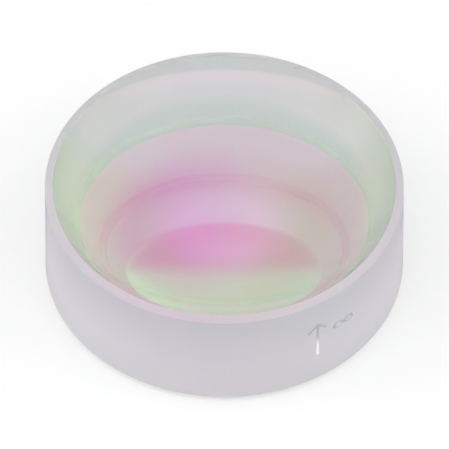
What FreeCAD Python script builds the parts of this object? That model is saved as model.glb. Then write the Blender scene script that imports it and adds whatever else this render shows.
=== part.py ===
import FreeCAD, Part
import Sketcher
import math
import os

# Plano-concave lens: one disc of fused silica, flat below and hollow above
# The plano face lies on z = 0, the optical axis is +Z through the origin and the
# hollow face looks up. Lengths are in millimetres and angles in degrees.

doc = FreeCAD.newDocument("PlanoConcaveLens")

# Driving dimensions: name, value, what it measures
DRIVING = (
    ("diameter", 12.7, "across the ground edge, half an inch"),
    ("centre_thickness", 2.0, "glass left on the optical axis"),
    ("face_radius", 9.2, "radius of curvature of the concave face"),
    ("rim_bevel_width", 0.28, "bevel round the concave face, along the radius"),
    ("rim_bevel_angle", 24.0, "fall of that bevel towards the ground edge"),
    ("plano_bevel_width", 0.2, "45 degree bevel round the plano face"),
)

sheet = doc.addObject("Spreadsheet::Sheet", "Dims")
for row, (alias, value, meaning) in enumerate(DRIVING, start=1):
    sheet.set(f"A{row}", alias)
    sheet.set(f"B{row}", str(value))
    sheet.setAlias(f"B{row}", alias)
    sheet.set(f"C{row}", meaning)
doc.recompute()


def origin_feature(body, role):
    """The plane or axis of a body's own origin that has this role."""
    return next(item for item in body.Origin.OriginFeatures if item.Role == role)


def half_section(body):
    """Half of the lens cut through its axis, drawn from the axis outwards.

    The concave face is an arc whose centre is held on the optical axis, so it stays
    a true sphere. The rim's height isn't a size of its own: it is where that arc
    meets the inside of the rim bevel.
    """
    sketch = body.newObject("Sketcher::SketchObject", "HalfSection")
    sketch.AttachmentSupport = [(origin_feature(body, "XZ_Plane"), "")]
    sketch.MapMode = "FlatFace"

    # Where the corners start, before the constraints hold them
    radius = sheet.diameter / 2
    rim_radius = radius - sheet.rim_bevel_width
    rim_turn = math.asin(rim_radius / sheet.face_radius)
    sphere_centre = FreeCAD.Vector(0, sheet.centre_thickness + sheet.face_radius, 0)
    rim_height = sphere_centre.y - sheet.face_radius * math.cos(rim_turn)
    rim_drop = sheet.rim_bevel_width * math.tan(math.radians(sheet.rim_bevel_angle))
    plano_centre = FreeCAD.Vector(0, 0, 0)
    plano_edge = FreeCAD.Vector(radius - sheet.plano_bevel_width, 0, 0)
    wall_foot = FreeCAD.Vector(radius, sheet.plano_bevel_width, 0)
    wall_top = FreeCAD.Vector(radius, rim_height - rim_drop, 0)
    rim = FreeCAD.Vector(rim_radius, rim_height, 0)
    hollow_centre = FreeCAD.Vector(0, sheet.centre_thickness, 0)

    sphere = Part.Circle(sphere_centre, FreeCAD.Vector(0, 0, 1), sheet.face_radius)
    face_start = -math.pi / 2
    plano = sketch.addGeometry(Part.LineSegment(plano_centre, plano_edge))
    plano_bevel = sketch.addGeometry(Part.LineSegment(plano_edge, wall_foot))
    wall = sketch.addGeometry(Part.LineSegment(wall_foot, wall_top))
    rim_bevel = sketch.addGeometry(Part.LineSegment(wall_top, rim))
    face = sketch.addGeometry(Part.ArcOfCircle(sphere, face_start, face_start + rim_turn))
    axis = sketch.addGeometry(Part.LineSegment(hollow_centre, plano_centre))

    # A closed outline that starts at the origin and returns down the axis
    start, end, centre = 1, 2, 3
    horizontal_axis, vertical_axis = -1, -2
    for first, second in (
        ((plano, end), (plano_bevel, start)),
        ((plano_bevel, end), (wall, start)),
        ((wall, end), (rim_bevel, start)),
        ((rim_bevel, end), (face, end)),
        ((face, start), (axis, start)),
        ((axis, end), (plano, start)),
        ((plano, start), (horizontal_axis, start)),
    ):
        sketch.addConstraint(Sketcher.Constraint("Coincident", *first, *second))
    sketch.addConstraint(Sketcher.Constraint("Horizontal", plano))
    sketch.addConstraint(Sketcher.Constraint("Vertical", wall))
    sketch.addConstraint(Sketcher.Constraint("Vertical", axis))
    sketch.addConstraint(Sketcher.Constraint("PointOnObject", face, centre, vertical_axis))

    def drive(name, expression, kind, *where):
        """A constraint with a name, whose size comes from the sheet."""
        index = sketch.addConstraint(Sketcher.Constraint(kind, *where))
        sketch.renameConstraint(index, name)
        sketch.setExpression(f"Constraints.{name}", expression)

    drive("Radius", "Dims.diameter / 2", "DistanceX", plano, start, wall, start, radius)
    drive("CentreThickness", "Dims.centre_thickness", "DistanceY",
          axis, end, axis, start, sheet.centre_thickness)
    drive("FaceRadius", "Dims.face_radius", "Radius", face, sheet.face_radius)
    drive("PlanoBevelWidth", "Dims.plano_bevel_width", "DistanceX",
          plano_bevel, start, plano_bevel, end, sheet.plano_bevel_width)
    drive("PlanoBevelHeight", "Dims.plano_bevel_width", "DistanceY",
          plano_bevel, start, plano_bevel, end, sheet.plano_bevel_width)
    drive("RimBevelWidth", "Dims.rim_bevel_width", "DistanceX",
          rim_bevel, end, rim_bevel, start, sheet.rim_bevel_width)
    drive("RimBevelFall", "Dims.rim_bevel_width * tan(Dims.rim_bevel_angle * 1 deg)", "DistanceY",
          rim_bevel, start, rim_bevel, end, rim_drop)
    return sketch


def lens():
    """The whole lens: the half section turned once round the optical axis."""
    body = doc.addObject("PartDesign::Body", "Lens")
    body.Label = "lens"
    sketch = half_section(body)
    turned = body.newObject("PartDesign::Revolution", "TurnedSection")
    turned.Profile = sketch
    turned.ReferenceAxis = (sketch, ["V_Axis"])
    turned.Angle = 360
    sketch.Visibility = False
    body.Placement = FreeCAD.Placement()
    return body


SUBPARTS = (lens(),)
doc.recompute()

# Nothing is written unless every object and every solid is sound
for item in doc.Objects:
    if "Invalid" in item.State or "Error" in item.State:
        raise RuntimeError(f"{item.Label} failed: {item.State}")
for subpart in SUBPARTS:
    if subpart.Shape.isNull() or not subpart.Shape.isValid():
        raise RuntimeError(f"{subpart.Label} has no sound shape")

os.makedirs("parts", exist_ok=True)
for subpart in SUBPARTS:
    subpart.Shape.exportStep(f"parts/{subpart.Label}.step")
    box = subpart.Shape.BoundBox
    print(f"{subpart.Label}: {box.XLength:.3f} x {box.YLength:.3f} x {box.ZLength:.3f} mm,"
          f" {subpart.Shape.Volume:.2f} mm3, {len(subpart.Shape.Faces)} faces")
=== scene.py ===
import math

import bmesh
import bpy
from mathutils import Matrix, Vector


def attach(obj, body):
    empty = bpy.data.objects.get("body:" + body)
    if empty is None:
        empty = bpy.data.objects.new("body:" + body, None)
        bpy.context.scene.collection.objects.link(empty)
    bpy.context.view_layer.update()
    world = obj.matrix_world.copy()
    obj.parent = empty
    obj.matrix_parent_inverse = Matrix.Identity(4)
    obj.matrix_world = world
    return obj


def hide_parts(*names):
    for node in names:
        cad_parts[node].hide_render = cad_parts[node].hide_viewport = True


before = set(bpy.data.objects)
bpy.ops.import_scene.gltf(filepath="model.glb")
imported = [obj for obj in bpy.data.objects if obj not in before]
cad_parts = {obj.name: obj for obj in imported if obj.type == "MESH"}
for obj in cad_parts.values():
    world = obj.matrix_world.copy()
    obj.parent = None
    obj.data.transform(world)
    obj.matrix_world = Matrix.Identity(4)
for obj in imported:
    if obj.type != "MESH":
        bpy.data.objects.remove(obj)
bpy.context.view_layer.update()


# The disc of glass
# A disc of fused silica, flat below and hollowed to a sphere above, with a plain edge
# and a small bevel round each face. It is turned here as one half section, the way the
# real one is ground on a spindle.
MM = 0.001
radius = 6.35*MM
centre_thickness = 2.0*MM
face_radius = 9.2*MM
rim_bevel_width = 0.28*MM
rim_bevel_angle = math.radians(24)
plano_bevel = 0.2*MM
face_steps = 72
round_steps = 256
same_place = 1e-6*MM

rim_radius = radius - rim_bevel_width
rim_turn = math.asin(rim_radius/face_radius)
sphere_centre = Vector((0, 0, centre_thickness + face_radius))
rim_height = sphere_centre.z - face_radius*math.cos(rim_turn)
wall_top = rim_height - math.tan(rim_bevel_angle)*rim_bevel_width

# The sign gets a fine grid later, so the edge is divided just above and below it
sign_low = 1.30*MM
sign_high = 3.16*MM

glass = bmesh.new()
hollow_centre = glass.verts.new((0, 0, centre_thickness))
bmesh.ops.spin(glass, geom=[hollow_centre], cent=sphere_centre, axis=(0, -1, 0),
               angle=rim_turn, steps=face_steps)
corner = max(glass.verts, key=lambda vertex: vertex.co.x)
for reach, level, steps in (
    (radius, wall_top, 2),
    (radius, sign_high, 2),
    (radius, sign_low, 3),
    (radius, plano_bevel, 3),
    (radius - plano_bevel, 0, 2),
    (0, 0, 14),
):
    start = corner.co.copy()
    end = Vector((reach, 0, level))
    for step in range(steps):
        vertex = glass.verts.new(start.lerp(end, (step + 1)/steps))
        glass.edges.new((corner, vertex))
        corner = vertex
bmesh.ops.spin(glass, geom=glass.verts[:] + glass.edges[:], cent=(0, 0, 0), axis=(0, 0, 1),
               angle=math.tau, steps=round_steps, use_merge=True)
bmesh.ops.remove_doubles(glass, verts=glass.verts[:], dist=same_place)
bmesh.ops.recalc_face_normals(glass, faces=glass.faces[:])


# The sign on the edge
# An arrow and an infinity sign, burnt into the ground edge as rows of small laser pits.
# They show which way the lens faces.
sign_angle = math.radians(31.3)
sign_left = -0.5*MM
sign_right = 1.75*MM
pit_radius = 0.072*MM
pit_depth = 0.05*MM
pit_spacing = 0.052*MM
burnt_depth = 0.1*pit_depth
arrow_foot = Vector((0, 1.46))*MM
arrow_tip = Vector((0, 3.0))*MM
barb = Vector((0.34, -0.31))*MM
infinity_centre = Vector((1.13, 2.43))*MM
infinity_reach = 0.42*MM
infinity_steps = 32
hair = 0.01*MM


def pit_row(points):
    """Places at even spacing along a line through these points, ends included."""
    row = []
    for start, end in zip(points, points[1:]):
        steps = max(1, round((end - start).length/pit_spacing))
        row += [start.lerp(end, step/steps) for step in range(steps)]
    return row + [points[-1]]


infinity_line = []
for step in range(infinity_steps + 1):
    turn = math.tau*step/infinity_steps
    waist = 1 + math.sin(turn)**2
    infinity_line.append(infinity_centre + infinity_reach/waist*Vector(
        (math.cos(turn), math.sin(turn)*math.cos(turn))))
pits = pit_row([arrow_foot, arrow_tip])
pits += pit_row([arrow_tip + Vector((-barb.x, barb.y)), arrow_tip, arrow_tip + barb])
pits += pit_row(infinity_line)


def on_edge(point):
    """A point of the edge unrolled flat: along the edge from the arrow, and up."""
    angle = math.atan2(point.x, -point.y)
    return Vector(((angle - sign_angle)*radius, point.z))


def sign_faces():
    """The faces of the edge that carry the sign, with a little room round it."""
    found = []
    for face in glass.faces:
        middle = face.calc_center_median()
        if math.hypot(middle.x, middle.y) < radius - hair:
            continue
        flat = on_edge(middle)
        if sign_left < flat.x < sign_right and sign_low < flat.y < sign_high:
            found.append(face)
    return found


def is_upright(edge):
    return abs(edge.verts[0].co.z - edge.verts[1].co.z) > hair


# The fine grid: the level lines are cut first, then the upright ones
for upright, cuts in ((False, 11), (True, 47)):
    lines = dict.fromkeys(edge for face in sign_faces() for edge in face.edges
                          if is_upright(edge) == upright)
    bmesh.ops.subdivide_edges(glass, edges=list(lines), cuts=cuts, use_grid_fill=True)

burnt = set()
for vertex in {vertex for face in sign_faces() for vertex in face.verts}:
    flat = on_edge(vertex.co)
    depth = 0
    for pit in pits:
        away = (flat - pit).length/pit_radius
        if away < 1:
            depth = max(depth, pit_depth*(1 - away**2)**2)
    outwards = Vector((vertex.co.x, vertex.co.y, 0)).normalized()
    vertex.co = outwards*(radius - depth) + Vector((0, 0, vertex.co.z))
    if depth > burnt_depth:
        burnt.add(vertex)


# Zones of the surface
# Both faces are polished and coated; the edge and the bevels keep their fine grinding,
# and the pits of the sign are rougher still. Each zone gets a finish of its own.
HOLLOW_FACE, RIM_BEVEL, EDGE, PLANO_BEVEL, PLANO_FACE, SIGN = range(6)
wall_inside = radius - pit_depth - hair
for face in glass.faces:
    middle = face.calc_center_median()
    out = math.hypot(middle.x, middle.y)
    if middle.z < hair:
        zone = PLANO_FACE
    elif middle.z < plano_bevel and out > rim_radius - plano_bevel:
        zone = PLANO_BEVEL
    elif out > wall_inside and middle.z < wall_top:
        zone = SIGN if all(vertex in burnt for vertex in face.verts) else EDGE
    elif out > rim_radius:
        zone = RIM_BEVEL
    else:
        zone = HOLLOW_FACE
    face.material_index = zone
    face.smooth = True
for edge in glass.edges:
    zones = {face.material_index for face in edge.link_faces}
    if len(zones) == 2 and SIGN not in zones:
        edge.smooth = False

lens_mesh = bpy.data.meshes.new("lens_glass")
glass.to_mesh(lens_mesh)
glass.free()
lens = bpy.data.objects.new("lens_glass", lens_mesh)
bpy.context.scene.collection.objects.link(lens)


# The ground edge and bevels
# Fine-ground fused silica: a matt, slightly translucent grey with a faint lavender cast,
# a grain of a few hundredths of a millimetre and faint level marks from the edging wheel.
class Wire:
    """One output of a shader node. Sums and products of wires add Math nodes beside it."""

    def __init__(self, socket):
        self.socket = socket
        self.tree = socket.id_data

    def node(self, kind, settings=None, sockets=None, output=0):
        """Another node's output in the same tree: its settings first, then its sockets."""
        made = self.tree.nodes.new(kind)
        for name, value in (settings or {}).items():
            setattr(made, name, value)
        for name, value in (sockets or {}).items():
            if isinstance(value, Wire):
                self.tree.links.new(value.socket, made.inputs[name])
            else:
                made.inputs[name].default_value = value
        return Wire(made.outputs[output])

    def into(self, socket):
        self.tree.links.new(self.socket, socket)

    def part(self, axis):
        """One of the three coordinates that this wire carries."""
        return self.node("ShaderNodeSeparateXYZ", {}, {0: self}, output=axis)

    def step(self, low, high, first=0.0, last=1.0):
        """Goes smoothly from first to last as this wire goes from low to high."""
        return self.node("ShaderNodeMapRange", {"interpolation_type": "SMOOTHSTEP"},
                         {"Value": self, "From Min": low, "From Max": high,
                          "To Min": first, "To Max": last})

    def noise(self, lumps, detail):
        """Noise about nought on these coordinates, with this many lumps in a metre."""
        place = self.node("ShaderNodeVectorMath", {"operation": "MULTIPLY"},
                          {0: self, 1: lumps})
        cloud = place.node("ShaderNodeTexNoise", {},
                           {"Vector": place, "Scale": 1.0, "Detail": detail})
        return cloud - 0.5

    def maths(self, operation, first, second):
        return self.node("ShaderNodeMath", {"operation": operation}, {0: first, 1: second})

    def __add__(self, other):
        return self.maths("ADD", self, other)

    def __radd__(self, other):
        return self.maths("ADD", other, self)

    def __sub__(self, other):
        return self.maths("SUBTRACT", self, other)

    def __rsub__(self, other):
        return self.maths("SUBTRACT", other, self)

    def __mul__(self, other):
        return self.maths("MULTIPLY", self, other)

    def __rmul__(self, other):
        return self.maths("MULTIPLY", other, self)


def material(name, **values):
    """A material, its shader with these values, and a wire with object coordinates."""
    made = bpy.data.materials.new(name)
    made.use_nodes = True
    shader = made.node_tree.nodes["Principled BSDF"]
    for key, value in values.items():
        shader.inputs[key.replace("_", " ")].default_value = value
    place = made.node_tree.nodes.new("ShaderNodeTexCoord")
    return made, shader, Wire(place.outputs["Object"])


def between(factor, first, last):
    """A colour that goes from first to last as the factor goes from 0 to 1.

    A Mix node takes its colours in sockets 6 and 7 and gives them out at output 2.
    """
    ends = {key: value if isinstance(value, Wire) else value + (1,)
            for key, value in ((6, first), (7, last))}
    return factor.node("ShaderNodeMix", {"data_type": "RGBA"}, {0: factor, **ends}, output=2)


silica_index = 1.458
grain_lumps = (26000, 26000, 26000)
wheel_lumps = (900, 900, 19000)
patch_lumps = (420, 420, 420)
grain_depth = 0.0025*MM


def ground_glass(name, pale, dark, roughness, clearness, painted_light_foot=None):
    """Ground silica: its grain moves between two shades and roughens the light.

    The foot is a third, lighter colour, painted light on the lower part, with the heights between
    which it gives way to the others.
    """
    made, shader, place = material(name, IOR=silica_index, Transmission_Weight=clearness)
    grain = place.noise(grain_lumps, detail=3.0)
    wheel_marks = place.noise(wheel_lumps, detail=2.0)
    patches = place.noise(patch_lumps, detail=3.0)
    shade = (0.5 + 0.5*grain + 0.35*wheel_marks + 0.9*patches).step(0, 1)
    colour = between(shade, dark, pale)
    # Painted light and shade: lower down the colour gives way to the lighter foot colour
    if painted_light_foot:
        low, high, painted_foot_light = painted_light_foot
        above_table = place.part("Z") + 0.2*MM*patches
        colour = between(above_table.step(low, high), painted_foot_light, colour)
    colour.into(shader.inputs["Base Color"])
    (roughness + 0.10*grain + 0.05*wheel_marks).into(shader.inputs["Roughness"])
    relief = 0.7*grain + 0.4*wheel_marks
    bump = relief.node("ShaderNodeBump", {}, {"Strength": 0.5, "Distance": grain_depth,
                                              "Height": relief})
    bump.into(shader.inputs["Normal"])
    return made


# Painted light and shade on the edge: lighter low down, as if lit from the table, and darker up
# under the rim
edge_finish = ground_glass("ground edge", roughness=0.8, clearness=0.55,
                           pale=(0.745, 0.77, 0.795), dark=(0.69, 0.705, 0.735),
                           painted_light_foot=(1.2*MM, wall_top + 0.3*MM, (0.875, 0.87, 0.92)))
rim_finish = ground_glass("ground rim bevel", roughness=0.75, clearness=0.5,
                          pale=(0.78, 0.775, 0.795), dark=(0.725, 0.715, 0.745))
plano_bevel_finish = ground_glass("ground plano bevel", roughness=0.75, clearness=0.5,
                                  pale=(0.86, 0.84, 0.86), dark=(0.80, 0.78, 0.80))
# The pits' dark grey is partly their own rough finish and partly painted shade in the recesses;
# their lower part is painted light, near white
sign_finish = ground_glass("laser pits", roughness=0.8, clearness=0.0,
                           pale=(0.62, 0.62, 0.63), dark=(0.42, 0.42, 0.43),
                           painted_light_foot=(1.9*MM, 2.4*MM, (0.95, 0.95, 0.95)))


# The coated faces
# Each polished face carries an interference film under a micrometre thick, laid on in
# vacuum: near clear in the middle of the hollow, green further out and stronger up its
# steep part, and magenta on the plano face. Both drift a little across the lens.
def coating(shader, thickness, index):
    """Clear polished silica under a film this many nanometres thick."""
    for name, value in (("Roughness", 0.0), ("IOR", silica_index), ("Transmission Weight", 1.0),
                        ("Thin Film Thickness", thickness), ("Thin Film IOR", index)):
        shader.inputs[name].default_value = value


drift_start = -3.11*MM
drift_end = 3.08*MM

# A tint is what the further layers of a coating let through, beside its main film
middle_tint = (1, 0.976, 0.995)
left_green = (0.787, 1, 0.596)
right_green = (0.707, 0.813, 0.586)
far_green = (0.808, 0.998, 0.831)
hollow_finish, deep, place = material("coated hollow face")
coating(deep, thickness=655.4, index=1.35)
steep = hollow_finish.node_tree.nodes.new("ShaderNodeBsdfPrincipled")
coating(steep, thickness=469.6, index=1.65)
wander = place.noise((160, 160, 160), detail=1.0)
flat_place = place.node("ShaderNodeVectorMath", {"operation": "MULTIPLY"},
                        {0: place, 1: (1, 1, 0)})
from_axis = flat_place.node("ShaderNodeVectorMath", {"operation": "LENGTH"},
                            {0: flat_place}, output="Value") + 0.5*MM*wander
to_right = place.part("X") + MM*wander
to_back = place.part("Y") + MM*wander
green = between(to_right.step(drift_start, drift_end), left_green, right_green)
tint = between(from_axis.step(1.02*MM, 3.07*MM), middle_tint, green)
tint = between(to_back.step(0.577*MM, 2.85*MM), tint, far_green)
tint.into(deep.inputs["Base Color"])
tint.into(steep.inputs["Base Color"])
steepness = from_axis.step(4.61*MM, 5.21*MM)
both = steepness.node("ShaderNodeMixShader", {}, {0: steepness, 1: Wire(deep.outputs[0]),
                                                  2: Wire(steep.outputs[0])})
both.into(hollow_finish.node_tree.nodes["Material Output"].inputs["Surface"])

left_magenta = (1, 0.25, 0.995)
right_magenta = (0.997, 0.7, 0.877)
outer_magenta = (0.999, 0.702, 0.995)
plano_finish, shader, place = material("coated plano face")
coating(shader, thickness=331.0, index=2.86)
clouds = place.noise((260, 260, 260), detail=2.0)
to_right = place.part("X") + 1.5*MM*clouds
from_centre = place.node("ShaderNodeVectorMath", {"operation": "LENGTH"}, {0: place},
                         output="Value")
magenta = between(to_right.step(drift_start, drift_end), left_magenta, right_magenta)
magenta = between(from_centre.step(3.64*MM, 5.56*MM), magenta, outer_magenta)
magenta.into(shader.inputs["Base Color"])

finishes = {HOLLOW_FACE: hollow_finish, RIM_BEVEL: rim_finish, EDGE: edge_finish,
            PLANO_BEVEL: plano_bevel_finish, PLANO_FACE: plano_finish, SIGN: sign_finish}
for zone in sorted(finishes):
    lens_mesh.materials.append(finishes[zone])
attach(lens, "root")
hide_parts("lens")


# The table
# A plain white table top. The lens stands on it with the thinnest of gaps, as a real one
# rests on dust and paper fibres, so light still reaches the glass from below.
table_gap = 0.03*MM
table_side = 0.6
table_shade = (0.8, 0.8, 0.8, 1)
white_lift = 0.204
table_grid = bmesh.new()
bmesh.ops.create_grid(table_grid, x_segments=1, y_segments=1, size=table_side/2)
bmesh.ops.translate(table_grid, verts=table_grid.verts[:], vec=(0, 0, -table_gap))
table_mesh = bpy.data.meshes.new("table")
table_grid.to_mesh(table_mesh)
table_grid.free()
table = bpy.data.objects.new("table", table_mesh)
bpy.context.scene.collection.objects.link(table)

# Where it is seen, the table is lifted to plain white; its light on the lens stays
table_finish, shader, place = material("white table", Base_Color=table_shade, Roughness=0.9,
                                       Specular_IOR_Level=0.0, Emission_Strength=white_lift)
rays = place.node("ShaderNodeLightPath").socket.node.outputs
seen = Wire(rays["Is Camera Ray"]) + Wire(rays["Is Glossy Ray"]) + Wire(rays["Is Transmission Ray"])
between(seen.step(0, 1), (0, 0, 0), (1, 1, 1)).into(shader.inputs["Emission Color"])
table_mesh.materials.append(table_finish)


# The studio
# A white room with a large scrim overhead. It ends in a clean edge towards the front, with
# a soft light along that edge, and its bright part ends in another towards the back. The
# walls glow at both sides, in front and low down, and the wall behind is grey.
room = 0.33
studio = bpy.data.worlds.new("studio")
studio.use_nodes = True
bpy.context.scene.world = studio
background = studio.node_tree.nodes["Background"]
direction = Wire(studio.node_tree.nodes.new("ShaderNodeTexCoord").outputs["Generated"])
across, back, up = (direction.part(axis) for axis in "XYZ")
sideways = across.node("ShaderNodeMath", {"operation": "ABSOLUTE"}, {0: across})

# The scrim leans back: this is how near a direction comes to the middle of it
into_scrim = 0.49*back + 0.872*up
scrim_edge = 0.43
edge_blur = 0.015
scrim = into_scrim.step(scrim_edge - edge_blur, scrim_edge + edge_blur)
towards_front = 0.45*back.step(-0.3, 0.53, 1, 0) + 0.18*back.step(-0.7, 0, 1, 0)
bright_part = 0.38*(0.53*up - 0.85*back).step(-0.02, 0.2)
scrim = scrim*(towards_front + bright_part)
edge_light = 0.55*into_scrim.step(0.31, 0.36)*into_scrim.step(0.47, 0.56, 1, 0)
edge_light = edge_light*back.step(-0.35, -0.1, 1, 0)

back_high = (0.93*up + 0.37*back).step(0.85, 1, 0, 0.11)
left = across.step(-0.9, -0.1, 0.39, 0)
right = across.step(0.1, 0.9, 0, 0.25)
front = back.step(-0.9, -0.2, 0.43, 0)
low = up.step(0.05, 0.5, 0.28, 0)
back_low = 0.13*back.step(0.3, 0.9)*up.step(0.15, 0.45, 1, 0)
side_mid = 0.46*sideways.step(0.3, 0.8)*up.step(0.05, 0.35)*up.step(0.45, 0.7, 1, 0)
strength = room + scrim + back_high + left + right
strength = strength + front + low + back_low + side_mid + edge_light
strength.into(background.inputs["Strength"])
background.inputs["Color"].default_value = (1, 1, 1, 1)


# The camera
# It looks down at 49 degrees from far away, as a long lens does for a small part. The
# picture is 449 pixels square, and the lens is placed and sized in it by its lower face.
look_down = math.radians(49.2)
distance = 0.6985
lens_radius_pixels = 178.8
picture_middle = 224.5
foot_across, foot_down = 224.32, 264.0
pixels_per_metre = lens_radius_pixels/radius
backwards = Vector((0, -math.cos(look_down), math.sin(look_down)))
upwards = Vector((0, math.sin(look_down), math.cos(look_down)))
aim = upwards*((foot_down - picture_middle)/pixels_per_metre)
aim.x -= (foot_across - picture_middle)/pixels_per_metre
camera_data = bpy.data.cameras.new("camera")
camera_data.sensor_width = 36
camera_data.lens = camera_data.sensor_width/2*distance*pixels_per_metre/picture_middle
camera_data.clip_start = 0.01
camera_data.clip_end = 10
camera = bpy.data.objects.new("camera", camera_data)
camera.location = aim + backwards*distance
camera.rotation_euler = backwards.to_track_quat("Z", "Y").to_euler()
bpy.context.scene.collection.objects.link(camera)
bpy.context.scene.camera = camera

bpy.context.scene.view_settings.view_transform = "Standard"
